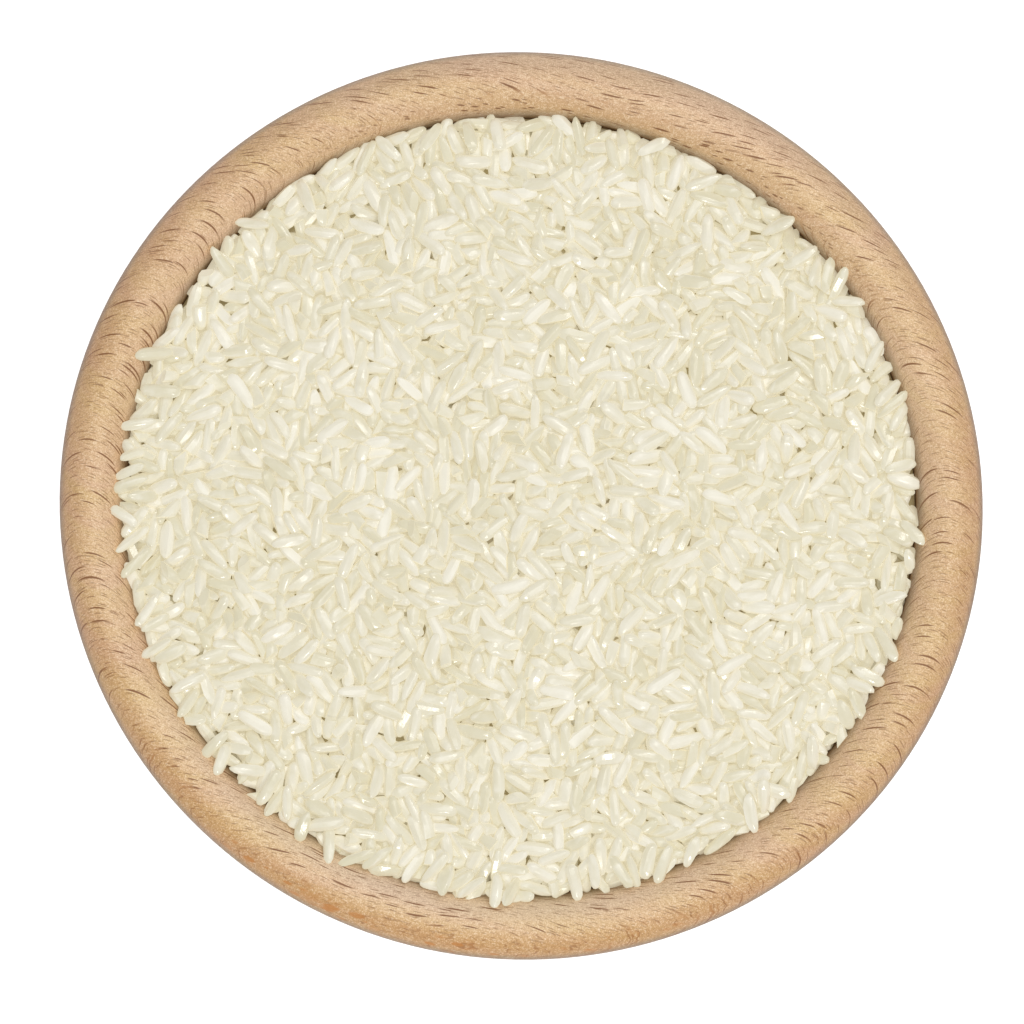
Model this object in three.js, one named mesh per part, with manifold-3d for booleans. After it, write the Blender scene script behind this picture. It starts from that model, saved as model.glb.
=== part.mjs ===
// A turned beech bowl with a thick rounded lip, filled to the brim with raw white rice.
// Millimetres, +Z up. The origin is the centre of the foot, on the table. +X runs along the wood's fibres.
import * as THREE from "three";
import { ConvexHull } from "three/addons/math/ConvexHull.js";
import { mergeVertices } from "three/addons/utils/BufferGeometryUtils.js";
import Module from "manifold-3d";

// Bowl: driving dimensions
const OUTER_RADIUS = 72; // along the fibres
const ACROSS_SHARE = 0.981; // drying shrinks wood across its fibres, so the bowl is a slight oval
const HEIGHT = 60;
const LIP_THICKNESS = 10.2;
const LIP_ROUNDING = 5.3; // height of the lip's half-round top
const FLOOR_THICKNESS = 9;
const FOOT_RADIUS = 36;
const FOOT_EDGE = 1.2; // small bevel where the foot meets the wall
const RECESS_RADIUS = 28; // of the shallow hollow under the foot
const RECESS_DEPTH = 1.4;
const TURNS = 72; // facets round the bowl and round the edge of the rice
const OUTSIDE_STEPS = 9; // facets down the bowl's outer curve
const HOLLOW_STEPS = 5; // facets down its inner curve
const LIP_STEPS = 8; // facets over the lip

// Rice: driving dimensions
const CONTACT_GAP = 0.3; // between the rice and the wood
const EDGE_DEPTH = 3.7; // the rice at the wall lies this far under the top of the lip
const DOME = 2.6; // the middle of the heap stands this far over its edge
const UNEVENNESS = 0.35; // height of the low, wide swells in the heap
const SWELL_LENGTHS = [74, 57, 39]; // from crest to crest: along the fibres, across them and slantwise
const GRAIN_LENGTH = 6.3;
const GRAIN_WIDTH = 2.05;
const BROKEN_LENGTH = 3.3;
const GRAIN_PITCH = 1.95; // nearest distance between the long axes of neighbouring grains
const GRAIN_CROWN = 1.1; // a bedded grain's back over the dip beside it
const GRAIN_SLOPE = 0.15; // steepest rise of a bedded grain over its length
const TIP_DROP = 0.2; // share of the crown that a grain loses at its tips
const DIP_SPACING = 2.3;
const DIP_DEPTH = 0.3; // the deepest dips go this far under the smooth surface
const LOOSE_GRAINS = 36;
const LOOSE_SETTLING = 0.3; // a loose grain sinks this far between the backs of the bedded ones
const LOOSE_TILT = 0.17;

// Tries at laying whole grains, broken grains and dips: enough to leave no room for one more
const WHOLE_TRIES = 26000;
const BROKEN_TRIES = 9000;
const DIP_TRIES = 42000;

const LIP_RADIUS = LIP_THICKNESS / 2;
const LIP_CENTRE = OUTER_RADIUS - LIP_RADIUS;
const LIP_BASE = HEIGHT - LIP_ROUNDING;
const INNER_RADIUS = OUTER_RADIUS - LIP_THICKNESS;
const RICE_EDGE = HEIGHT - EDGE_DEPTH;

const wasm = await Module();
wasm.setup();

// Repeatable random numbers from 0 to 1.
function seededRandom(seed) {
  let state = seed;
  return () => {
    state = (state + 0x6d2b79f5) | 0;
    let mixed = Math.imul(state ^ (state >>> 15), 1 | state);
    mixed = (mixed + Math.imul(mixed ^ (mixed >>> 7), 61 | mixed)) ^ mixed;
    return ((mixed ^ (mixed >>> 14)) >>> 0) / 2 ** 32;
  };
}

// A random place in a disc round the origin.
function randomPlace(reach, random) {
  const bearing = 2 * Math.PI * random();
  return new THREE.Vector2(Math.cos(bearing), Math.sin(bearing)).multiplyScalar(reach * Math.sqrt(random()));
}

// The inside of the bowl from the lip down to the middle of its floor, as radius and height.
function hollowPath() {
  const path = new THREE.Path();
  path.moveTo(INNER_RADIUS, LIP_BASE);
  path.bezierCurveTo(
    INNER_RADIUS - 0.2, LIP_BASE * 0.42,
    INNER_RADIUS * 0.86, FLOOR_THICKNESS + 1,
    0, FLOOR_THICKNESS,
  );
  return path;
}

// The whole section of the bowl, starting and ending on the axis.
function bowlSection() {
  const outside = new THREE.Path();
  outside.moveTo(0, RECESS_DEPTH);
  outside.lineTo(RECESS_RADIUS - RECESS_DEPTH, RECESS_DEPTH);
  outside.lineTo(RECESS_RADIUS, 0);
  outside.lineTo(FOOT_RADIUS, 0);
  outside.lineTo(FOOT_RADIUS + FOOT_EDGE, FOOT_EDGE);
  outside.bezierCurveTo(
    OUTER_RADIUS * 0.8, HEIGHT * 0.12,
    OUTER_RADIUS - 0.3, HEIGHT * 0.46,
    OUTER_RADIUS, LIP_BASE,
  );
  const lip = new THREE.EllipseCurve(LIP_CENTRE, LIP_BASE, LIP_RADIUS, LIP_ROUNDING, 0, Math.PI);
  return [
    ...outside.getPoints(OUTSIDE_STEPS),
    ...lip.getPoints(LIP_STEPS).slice(1),
    ...hollowPath().getPoints(HOLLOW_STEPS).slice(1),
  ];
}

// A section of radius and height turned round the Z axis into a closed shape.
function turned(section) {
  const geometry = new THREE.LatheGeometry(section, TURNS);
  geometry.rotateX(Math.PI / 2);
  return geometry;
}

// Low, wide swells from about -1.5 to 1.5.
function swell(x, y) {
  const wave = (place, length, start) => Math.sin((2 * Math.PI * place) / length + start);
  const [along, across, slantwise] = SWELL_LENGTHS;
  return wave(x, along, 0.6) * wave(y, across, 0.7) + 0.5 * wave(x - y, slantwise, 0);
}

// Height of the rice's smooth surface, before its grains.
function riceLevel(x, y) {
  const share = Math.hypot(x, y) / INNER_RADIUS;
  const fade = Math.max(0, 1 - share ** 6);
  return RICE_EDGE + (DOME * (1 - share ** 2.4) + UNEVENNESS * swell(x, y)) * fade;
}

// The side and underside of the rice: the hollow of the bowl, drawn in by the contact gap.
function riceSide() {
  const upTheLip = (RICE_EDGE - LIP_BASE) / LIP_ROUNDING;
  const edgeRadius = LIP_CENTRE - LIP_RADIUS * Math.sqrt(1 - upTheLip ** 2);
  const wall = [new THREE.Vector2(edgeRadius, RICE_EDGE), ...hollowPath().getPoints(HOLLOW_STEPS)];
  const last = wall.length - 1;
  return wall.map((point, i) => {
    if (i === last) return new THREE.Vector2(0, point.y + CONTACT_GAP);
    const before = wall[Math.max(0, i - 1)];
    const along = new THREE.Vector2().subVectors(wall[i + 1], before).normalize();
    const rise = i === 0 ? 0 : -along.x * CONTACT_GAP;
    return new THREE.Vector2(point.x + along.y * CONTACT_GAP, point.y + rise);
  });
}

// The straight axis of a thing that lies on the heap. A bare spot is one with no length.
function layAxis(middle, turn, length) {
  const direction = new THREE.Vector2(Math.cos(turn), Math.sin(turn));
  return {
    middle,
    direction,
    length,
    start: middle.clone().addScaledVector(direction, -length / 2),
    end: middle.clone().addScaledVector(direction, length / 2),
  };
}

// True where two axes come nearer to each other than the clearance.
function tooNear(a, b, clearance) {
  if (a.middle.distanceTo(b.middle) > (a.length + b.length) / 2 + clearance) return false;
  return [[a, b], [b, a]].some(([line, other]) => (
    [other.start, other.middle, other.end].some((end) => {
      const along = new THREE.Vector2().subVectors(end, line.start).dot(line.direction);
      const closest = line.start.clone()
        .addScaledVector(line.direction, THREE.MathUtils.clamp(along, 0, line.length));
      return closest.distanceTo(end) < clearance;
    })
  ));
}

// Throws grains of one length flat on the heap, and keeps each that clears the ones before it.
function bedGrains(grains, grainLength, tries, reach, random) {
  const isWhole = grainLength === GRAIN_LENGTH;
  for (let i = 0; i < tries; i++) {
    const axis = layAxis(randomPlace(reach, random), Math.PI * random(), grainLength - GRAIN_WIDTH);
    const slope = 2 * GRAIN_SLOPE * (random() - 0.5);
    const inside = Math.max(axis.start.length(), axis.end.length()) < reach;
    if (inside && !grains.some((other) => tooNear(axis, other, GRAIN_PITCH))) {
      grains.push({ ...axis, slope, isWhole });
    }
  }
}

// The points of a bedded grain's back, from tip to tip.
function grainBack(grain) {
  const steps = grain.isWhole ? [-1, 0, 1] : [-1, 1];
  return steps.map((step) => {
    const along = (step * grain.length) / 2;
    const { x, y } = grain.middle.clone().addScaledVector(grain.direction, along);
    const crown = GRAIN_CROWN * (1 - TIP_DROP * Math.abs(step));
    return new THREE.Vector3(x, y, riceLevel(x, y) + crown + along * grain.slope);
  });
}

// The points between the bedded grains, at even spacing.
function dipPoints(grains, reach, random) {
  const dips = [];
  for (let i = 0; i < DIP_TRIES; i++) {
    const spot = layAxis(randomPlace(reach, random), 0, 0);
    const taken = grains.some((grain) => tooNear(spot, grain, GRAIN_WIDTH * 0.43));
    if (!taken && !dips.some((dip) => tooNear(spot, dip, DIP_SPACING))) dips.push(spot);
  }
  return dips.map(({ middle: { x, y } }) => new THREE.Vector3(x, y, riceLevel(x, y) - DIP_DEPTH * random()));
}

// One ring of points round the Z axis.
function ringPoints(radius, height) {
  return Array.from({ length: TURNS }, (_, i) => {
    const bearing = (2 * Math.PI * i) / TURNS;
    return new THREE.Vector3(radius * Math.cos(bearing), radius * Math.sin(bearing), height);
  });
}

// Delaunay triangles of points seen from above: the underside of their hull once lifted onto a paraboloid.
function trianglesOver(points) {
  const lifted = points.map(({ x, y }) => new THREE.Vector3(x, y, (x ** 2 + y ** 2) / INNER_RADIUS));
  const index = new Map(lifted.map((point, i) => [point, i]));
  const undersides = new ConvexHull().setFromPoints(lifted).faces.filter((face) => face.normal.z < 0);
  return undersides.map(({ edge }) => {
    const turnedOver = [edge.next.next, edge.next, edge];
    return turnedOver.map((side) => index.get(side.head().point));
  });
}

// The body of the rice: grain relief on top, the hollow of the bowl below.
function riceBody(random) {
  const [edge, ...rest] = riceSide();
  const bottomHeight = rest.pop().y;
  const grains = [];
  const grainReach = edge.x - GRAIN_WIDTH / 2;
  bedGrains(grains, GRAIN_LENGTH, WHOLE_TRIES, grainReach, random);
  bedGrains(grains, BROKEN_LENGTH, BROKEN_TRIES, grainReach, random);
  const points = [
    ...grains.flatMap(grainBack),
    ...dipPoints(grains, edge.x - 2 * CONTACT_GAP, random),
    ...ringPoints(edge.x, edge.y),
  ];
  const triangles = trianglesOver(points);
  let above = points.length - TURNS;
  for (const step of rest) {
    const below = points.length;
    points.push(...ringPoints(step.x, step.y));
    for (let i = 0; i < TURNS; i++) {
      const next = (i + 1) % TURNS;
      triangles.push([above + i, below + i, below + next], [above + i, below + next, above + next]);
    }
    above = below;
  }
  const bottom = points.length;
  points.push(new THREE.Vector3(0, 0, bottomHeight));
  for (let i = 0; i < TURNS; i++) triangles.push([above + i, bottom, above + ((i + 1) % TURNS)]);
  const geometry = new THREE.BufferGeometry().setFromPoints(points);
  geometry.setIndex(triangles.flat());
  return geometry;
}

// One loose grain with few sides, lying on the heap.
function looseGrain(random) {
  const geometry = new THREE.SphereGeometry(1, 6, 4);
  geometry.scale(GRAIN_WIDTH / 2, GRAIN_LENGTH * (0.44 + 0.08 * random()), GRAIN_WIDTH * 0.42);
  const { x, y } = randomPlace(INNER_RADIUS - GRAIN_LENGTH, random);
  geometry.rotateX(2 * LOOSE_TILT * (random() - 0.5));
  geometry.rotateZ(2 * Math.PI * random());
  geometry.translate(x, y, riceLevel(x, y) + GRAIN_CROWN - LOOSE_SETTLING);
  return geometry;
}

// A closed shape as a solid that can be joined to others.
function toSolid(geometry) {
  const bare = geometry.clone();
  bare.deleteAttribute("normal");
  bare.deleteAttribute("uv");
  const merged = mergeVertices(bare, 1e-4);
  return new wasm.Manifold(new wasm.Mesh({
    numProp: 3,
    vertProperties: new Float32Array(merged.attributes.position.array),
    triVerts: new Uint32Array(merged.index.array),
  }));
}

// A solid as a geometry again.
function toGeometry(solid) {
  const mesh = solid.getMesh();
  const geometry = new THREE.BufferGeometry();
  geometry.setAttribute("position", new THREE.BufferAttribute(mesh.vertProperties, 3));
  geometry.setIndex(new THREE.BufferAttribute(mesh.triVerts, 1));
  geometry.computeVertexNormals();
  return geometry;
}

function bowl() {
  const material = new THREE.MeshStandardMaterial({ color: 0xd8b38a, roughness: 0.62, metalness: 0 });
  const mesh = new THREE.Mesh(turned(bowlSection()), material);
  mesh.name = "bowl";
  return mesh;
}

function rice() {
  const random = seededRandom(11);
  let solid = toSolid(riceBody(random));
  for (let i = 0; i < LOOSE_GRAINS; i++) solid = solid.add(toSolid(looseGrain(random)));
  const material = new THREE.MeshStandardMaterial({ color: 0xebe4ce, roughness: 0.45, metalness: 0 });
  const mesh = new THREE.Mesh(toGeometry(solid), material);
  mesh.name = "rice";
  return mesh;
}

const filledBowl = new THREE.Group();
filledBowl.add(bowl(), rice());
filledBowl.traverse((piece) => {
  if (piece.isMesh) piece.geometry.scale(1, ACROSS_SHARE, 1);
});

export default filledBowl;
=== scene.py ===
"""A turned beech bowl, filled to the brim with raw white rice, in a plain pale studio.

Metres, +Z up. The origin is the centre of the bowl's foot. +X runs along the wood's fibres.
"""

import logging
import math
from dataclasses import dataclass, field
from enum import Enum

import bmesh
import bpy
import numpy as np
from mathutils import Matrix, Vector


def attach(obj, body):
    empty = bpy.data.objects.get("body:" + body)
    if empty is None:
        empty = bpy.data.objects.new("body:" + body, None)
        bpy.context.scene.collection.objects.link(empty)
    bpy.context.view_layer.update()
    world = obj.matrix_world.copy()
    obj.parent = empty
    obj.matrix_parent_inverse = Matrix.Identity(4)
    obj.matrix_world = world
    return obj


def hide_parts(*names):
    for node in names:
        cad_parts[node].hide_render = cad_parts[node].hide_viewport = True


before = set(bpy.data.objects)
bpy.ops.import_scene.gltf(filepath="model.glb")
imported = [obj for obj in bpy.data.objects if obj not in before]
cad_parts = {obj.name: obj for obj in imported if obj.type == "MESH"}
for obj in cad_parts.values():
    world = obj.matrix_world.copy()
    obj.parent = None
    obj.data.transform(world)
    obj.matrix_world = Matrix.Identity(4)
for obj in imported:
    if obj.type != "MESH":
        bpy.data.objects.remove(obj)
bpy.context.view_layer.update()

MM = 0.001  # one millimetre, in metres
BODY = "root"

Colour = tuple[float, float, float]
log = logging.getLogger("scene")


def colour(red: int, green: int, blue: int) -> Colour:
    """Turns a screen colour into the linear one that shaders use.

    Args:
        red: Red, from 0 to 255.
        green: Green, from 0 to 255.
        blue: Blue, from 0 to 255.

    Returns:
        The same colour as three linear shares.
    """
    def linear(value: int) -> float:
        """Turns one screen value into a linear share."""
        share = value / 255
        return share / 12.92 if share <= 0.04045 else ((share + 0.055) / 1.055) ** 2.4

    return linear(red), linear(green), linear(blue)


class NodeGraph:
    """A material's nodes, added and linked one at a time round its Principled shader."""

    def __init__(self, name: str) -> None:
        """Makes the material.

        Args:
            name: The material's name.
        """
        self.material = bpy.data.materials.new(name)
        self.material.use_nodes = True
        self.tree = self.material.node_tree
        self.shader = self.tree.nodes["Principled BSDF"]

    def feed(self, socket: bpy.types.NodeSocket, value: object) -> None:
        """Links a socket to another one, or sets its number or colour.

        Args:
            socket: The input to feed.
            value: An output socket, a number or a tuple.
        """
        if isinstance(value, bpy.types.NodeSocket):
            self.tree.links.new(value, socket)
        elif socket.type == "RGBA" and len(value) == 3:
            socket.default_value = (*value, 1.0)
        else:
            socket.default_value = value

    def add(self, kind: str, inputs: dict[str, object], **settings: object) -> bpy.types.Node:
        """Adds one node.

        Args:
            kind: The node's type.
            inputs: What each named input is fed.
            **settings: Properties of the node itself.

        Returns:
            The new node.
        """
        node = self.tree.nodes.new(kind)
        for name, value in settings.items():
            setattr(node, name, value)
        for name, value in inputs.items():
            self.feed(node.inputs[name], value)
        return node

    def math(self, operation: str, *values: object) -> bpy.types.NodeSocket:
        """Adds a Math node.

        Args:
            operation: What it does.
            *values: Its inputs, in order.

        Returns:
            Its result.
        """
        node = self.add("ShaderNodeMath", {}, operation=operation)
        for socket, value in zip(node.inputs, values):
            self.feed(socket, value)
        return node.outputs[0]

    def vector(self, operation: str, *values: object) -> bpy.types.NodeSocket:
        """Adds a Vector Math node.

        Args:
            operation: What it does.
            *values: Its inputs, in order.

        Returns:
            Its result, a number for a length or a dot product.
        """
        node = self.add("ShaderNodeVectorMath", {}, operation=operation)
        for socket, value in zip(node.inputs, values):
            self.feed(socket, value)
        is_number = operation in ("LENGTH", "DOT_PRODUCT")
        return node.outputs["Value" if is_number else "Vector"]

    def product(self, result: object, *factors: object) -> bpy.types.NodeSocket:
        """Multiplies numbers.

        Args:
            result: The first number.
            *factors: The others.

        Returns:
            Their product.
        """
        for factor in factors:
            result = self.math("MULTIPLY", result, factor)
        return result

    def span(self, value: object, low: float, high: float, start: float = 0.0,
             end: float = 1.0) -> bpy.types.NodeSocket:
        """Stretches one range of numbers over another, and clamps it.

        Args:
            value: The number that is read.
            low: Where the result is start.
            high: Where the result is end.
            start: The result at low.
            end: The result at high.

        Returns:
            The result.
        """
        node = self.add(
            "ShaderNodeMapRange",
            {"Value": value, "From Min": low, "From Max": high, "To Min": start, "To Max": end},
        )
        return node.outputs["Result"]

    def mix(self, share: object, first: object, second: object, blend: str = "MIX") -> bpy.types.NodeSocket:
        """Mixes two colours.

        Args:
            share: How much of the second, from 0 to 1.
            first: The colour at 0.
            second: The colour at 1.
            blend: How the second is laid over the first.

        Returns:
            The mixed colour.
        """
        node = self.add("ShaderNodeMix", {}, data_type="RGBA", blend_type=blend)
        self.feed(node.inputs[0], share)
        self.feed(node.inputs[6], first)
        self.feed(node.inputs[7], second)
        return node.outputs[2]

    def noise(self, place: object, scale: float, detail: float = 2.0) -> bpy.types.NodeSocket:
        """Adds soft noise.

        Args:
            place: Where it is read.
            scale: Swells to each unit of place.
            detail: How many finer sizes are added.

        Returns:
            The noise, round about 0.5.
        """
        node = self.add("ShaderNodeTexNoise", {"Vector": place, "Scale": scale, "Detail": detail})
        return node.outputs["Fac"]

    def parts(self, vector: bpy.types.NodeSocket) -> bpy.types.bpy_prop_collection:
        """Splits a vector.

        Args:
            vector: The vector.

        Returns:
            Its three numbers, by the names X, Y and Z.
        """
        return self.add("ShaderNodeSeparateXYZ", {"Vector": vector}).outputs

    def place(self) -> bpy.types.NodeSocket:
        """Gives the place in the piece in millimetres.

        Returns:
            The place.
        """
        coordinates = self.add("ShaderNodeTexCoord", {})
        return self.vector("MULTIPLY", coordinates.outputs["Object"], (1 / MM, 1 / MM, 1 / MM))

    def facing(self, direction: object) -> bpy.types.NodeSocket:
        """Shows how squarely the surface faces along a line.

        Args:
            direction: The line's direction.

        Returns:
            1 where it faces either way along the line, and 0 where it runs beside it.
        """
        normal = self.add("ShaderNodeNewGeometry", {}).outputs["Normal"]
        return self.math("ABSOLUTE", self.vector("DOT_PRODUCT", normal, direction))

    def bump(self, height: object, distance: float, strength: float) -> None:
        """Gives the shader's surface a fine relief.

        Args:
            height: The relief, from 0 to 1.
            distance: Its depth in metres.
            strength: How much of it shows.
        """
        node = self.add("ShaderNodeBump", {"Height": height, "Distance": distance, "Strength": strength})
        self.feed(self.shader.inputs["Normal"], node.outputs["Normal"])


@dataclass(frozen=True)
class FleckShape:
    """Lens-shaped bodies scattered through the wood. Sizes are in millimetres.

    Each size runs along the fibres, along the growth layers, and across the layers.
    """

    spacing: tuple[float, float, float]
    half_size: tuple[float, float, float]
    strength: float = 0.9  # how much of the wood's colour they cover
    flat_strength: float = 0.9  # the same where the surface runs along the rays
    smallest: float = 0.45  # share of the half size that the smallest bodies have
    largest: float = 1.1  # the same for the largest
    solid: float = 0.65  # share of a body, round its middle, that shows in full

    def mask(self, graph: NodeGraph, place: bpy.types.NodeSocket) -> bpy.types.NodeSocket:
        """Shows where the bodies are cut by the surface.

        Args:
            graph: The material's nodes.
            place: The place in the wood, in millimetres.

        Returns:
            1 in a body and 0 outside.
        """
        cells = graph.vector("DIVIDE", place, self.spacing)
        nearest = graph.add("ShaderNodeTexVoronoi", {"Vector": cells, "Scale": 1.0}, feature="F1")
        offset = graph.vector("SUBTRACT", cells, nearest.outputs["Position"])
        stretch = tuple(gap / half for gap, half in zip(self.spacing, self.half_size))
        distance = graph.vector("LENGTH", graph.vector("MULTIPLY", offset, stretch))
        chance = graph.add("ShaderNodeSeparateColor", {"Color": nearest.outputs["Color"]})
        reach = graph.span(chance.outputs["Red"], 0.0, 1.0, self.smallest, self.largest)
        return graph.span(graph.math("DIVIDE", distance, reach), 1.0, self.solid)


@dataclass(frozen=True)
class WoodSpot:
    """What a beech material knows of the spot that it shades. Lengths are in millimetres."""

    place: bpy.types.NodeSocket  # in the bowl
    wood: bpy.types.NodeSocket  # along the fibres, along the growth layers, and across the layers
    flat_on: bpy.types.NodeSocket  # 1 where the surface runs along the rays and so cuts them flat
    layer_on: bpy.types.NodeSocket  # 1 where it runs along the growth layers
    radius: bpy.types.NodeSocket  # from the bowl's axis
    grit: bpy.types.NodeSocket  # fine unevenness, round about 0.5


@dataclass(frozen=True)
class BeechFinish:
    """Oiled beech, a pattern that goes right through the wood.

    The growth layers are rings round the pith, the middle of the tree. Rays are thin ribbons across the
    layers. Cut on edge they are short dark dashes, and cut flat they are broader flakes.
    """

    name: str = "beech"
    pith: tuple[float, float, float] = (0.0, 495.0, 550.0)  # a point on it, beside the bowl, in millimetres
    ring_radius: float = 700.0  # of the layers in the bowl, on average
    yellow_layer: Colour = colour(222, 188, 136)
    pink_layer: Colour = colour(222, 184, 145)
    golden_and_shaded_face: Colour = colour(196, 143, 78)  # where the surface runs along the rays; partly the wood's tone and partly painted shade, on the faces turned from the top light
    painted_sheen_face: Colour = colour(210, 184, 164)  # painted sheen: greyer and pinker where the surface runs along the growth layers, the faces turned up towards the top light
    painted_side_shade: Colour = colour(190, 177, 170)  # painted shade: tint of the steep sides, darker as they turn from the light above
    painted_edge_shade: Colour = colour(152, 158, 163)  # painted shade and painted reflection: grey-blue tint of the lip's steep outer edge
    painted_edge_height: tuple[float, float] = (53.5, 57.0)  # from the sides' painted shade to the edge's
    painted_outer_shade: Colour = colour(234, 228, 220)  # painted shade: tint of the lip's outside, darker than its crest
    painted_outer_shade_radius: tuple[float, float] = (66.5, 72.0)  # from none to all of that tint
    painted_bounce: Colour = colour(240, 228, 205)  # painted light: a cream tint on the lip's inside, for light bounced from the rice
    painted_bounce_radius: tuple[float, float] = (67.0, 63.0)  # from none to all of that painted light
    polished_radius: tuple[float, float] = (66.0, 69.0)  # from the dull inside to the polished outside
    pale: Colour = colour(255, 232, 200)  # of the lightest fibres
    dash: Colour = colour(126, 80, 42)
    flake: Colour = colour(192, 128, 62)
    scale: Colour = colour(158, 106, 56)  # of the small rays where they are cut flat
    ripple: float = 0.8  # how far flat rays wave in and out of the surface, in millimetres
    rays: FleckShape = FleckShape((5.6, 1.1, 11.0), (2.4, 0.13, 7.5), 0.9, 0.35)
    small_rays: FleckShape = FleckShape((1.9, 0.4, 4.0), (0.95, 0.07, 2.6), 0.55, 0.75)
    flecks: FleckShape = FleckShape((4.5, 1.4, 2.2), (1.5, 0.6, 0.6))
    streaks: FleckShape = FleckShape((3.8, 0.75, 0.75), (2.2, 0.22, 0.22))
    pores: FleckShape = FleckShape((1.2, 0.34, 0.34), (0.5, 0.09, 0.09), 0.35)
    dull_share: float = 0.15  # of the flat rays that shows on the dull inside
    golden_and_shaded_share: float = 0.65  # the most of each of these colours that is mixed in
    painted_sheen_share: float = 0.45
    dark_share: float = 0.3  # of the dash colour, in the darkest fibres
    pale_share: float = 0.55
    painted_bounce_share: float = 0.15
    roughness: float = 0.5

    def spot(self, graph: NodeGraph) -> WoodSpot:
        """Finds where the shaded spot lies in the bowl and in the wood.

        Args:
            graph: The material's nodes.

        Returns:
            The spot.
        """
        place = graph.place()
        from_pith = graph.vector("MULTIPLY", graph.vector("SUBTRACT", place, self.pith), (0.0, 1.0, 1.0))
        across_layers = graph.vector("NORMALIZE", from_pith)
        along_layers = graph.vector("CROSS_PRODUCT", across_layers, (1.0, 0.0, 0.0))
        sides = graph.parts(from_pith)
        straight = graph.add("ShaderNodeCombineXYZ", {
            "X": graph.parts(place)["X"],
            "Y": graph.product(graph.math("ARCTAN2", sides["Y"], sides["Z"]), self.ring_radius),
            "Z": graph.vector("LENGTH", from_pith),
        }).outputs["Vector"]
        sway = graph.add("ShaderNodeTexNoise", {"Vector": straight, "Scale": 0.06, "Detail": 1.0})
        shift = graph.vector("MULTIPLY", sway.outputs["Color"], (0.0, 2.2, 2.2))
        wood = graph.vector("ADD", straight, shift)
        fibres = graph.noise(graph.vector("MULTIPLY", wood, (1.5, 6.0, 2.4)), 1.0, 2.0)
        speckle = graph.noise(wood, 5.0, 1.0)
        return WoodSpot(
            place=place,
            wood=wood,
            flat_on=graph.facing(along_layers),
            layer_on=graph.facing(across_layers),
            radius=graph.vector("LENGTH", graph.vector("MULTIPLY", place, (1.0, 1.0, 0.0))),
            grit=graph.math("ADD", graph.product(fibres, 0.4), graph.product(speckle, 0.6)),
        )

    def fresh(self, graph: NodeGraph, spot: WoodSpot) -> bpy.types.NodeSocket:
        """Colours the freshly turned wood, without its rays and pores, with a painted sheen and some painted
        shade.

        Args:
            graph: The material's nodes.
            spot: The shaded spot.

        Returns:
            The colour.
        """
        layers = graph.noise(graph.vector("MULTIPLY", spot.wood, (0.012, 0.06, 0.42)), 1.0, 3.0)
        tint = graph.mix(graph.span(layers, 0.35, 0.65), self.yellow_layer, self.pink_layer)
        patches = graph.noise(graph.vector("MULTIPLY", spot.wood, (0.03, 0.09, 0.09)), 1.0, 2.0)
        tint = graph.mix(graph.span(patches, 0.3, 0.7, 0.0, 0.16), tint, self.flake, "MULTIPLY")
        # A golden tone, partly the wood's own and partly painted shade, on the faces turned from the top
        # light.
        tint = graph.mix(graph.span(spot.flat_on, 0.75, 1.0, 0.0, self.golden_and_shaded_share), tint, self.golden_and_shaded_face)
        # Painted sheen, grey-pink, on the faces turned up towards the top light.
        tint = graph.mix(graph.span(spot.layer_on, 0.8, 1.0, 0.0, self.painted_sheen_share), tint, self.painted_sheen_face)
        tint = graph.mix(graph.span(spot.grit, 0.5, 0.34, 0.0, self.dark_share), tint, self.dash)
        tint = graph.mix(graph.span(spot.grit, 0.5, 0.66, 0.0, self.pale_share), tint, self.pale)
        end_on = graph.facing((1.0, 0.0, 0.0))
        return graph.mix(graph.span(end_on, 0.2, 1.0, 0.0, 0.3), tint, self.flake, "MULTIPLY")

    def add_painted_light(self, graph: NodeGraph, spot: WoodSpot, tint: bpy.types.NodeSocket) -> bpy.types.NodeSocket:
        """Paints light and shade over the colour: painted shade on the steep sides, the lip's edge and its
        outside, and painted light bounced from the rice on its inside.

        Args:
            graph: The material's nodes.
            spot: The shaded spot.
            tint: The fresh wood's colour.

        Returns:
            The colour with the painted light and shade.
        """
        # Painted shade on the sides that turn from the light above, greyer and bluer at the lip's edge.
        shade = graph.mix(graph.span(graph.parts(spot.place)["Z"], *self.painted_edge_height),
                          self.painted_side_shade, self.painted_edge_shade)
        upright = graph.facing((0.0, 0.0, 1.0))
        tint = graph.mix(graph.span(upright, 0.62, 0.2), tint, shade, "MULTIPLY")
        # Painted shade on the lip's outside.
        tint = graph.mix(graph.span(spot.radius, *self.painted_outer_shade_radius), tint, self.painted_outer_shade, "MULTIPLY")
        # Painted light, bounced from the rice, on the lip's inside.
        return graph.mix(graph.span(spot.radius, *self.painted_bounce_radius, 0.0, self.painted_bounce_share), tint, self.painted_bounce)

    def figured(self, graph: NodeGraph, spot: WoodSpot, tint: bpy.types.NodeSocket,
                pores: bpy.types.NodeSocket) -> bpy.types.NodeSocket:
        """Draws the pores, the rays and the flecks over the wood.

        Rays that are cut flat would be broad flakes. On the dull inside only short streaks show of them.

        Args:
            graph: The material's nodes.
            spot: The shaded spot.
            tint: The wood's colour.
            pores: 1 in a pore and 0 outside.

        Returns:
            The colour with them.
        """
        cut_flat = graph.span(spot.flat_on, 0.8, 0.97)
        polished = graph.span(spot.radius, *self.polished_radius)
        dull = graph.math("SUBTRACT", cut_flat, graph.product(cut_flat, polished))
        wave = graph.noise(graph.vector("MULTIPLY", spot.wood, (0.5, 0.5, 1.0)), 1.0, 1.0)
        ripple = graph.product(graph.math("SUBTRACT", wave, 0.5), self.ripple, cut_flat)
        shift = graph.add("ShaderNodeCombineXYZ", {"Y": ripple}).outputs["Vector"]
        rippled = graph.vector("ADD", spot.wood, shift)

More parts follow.
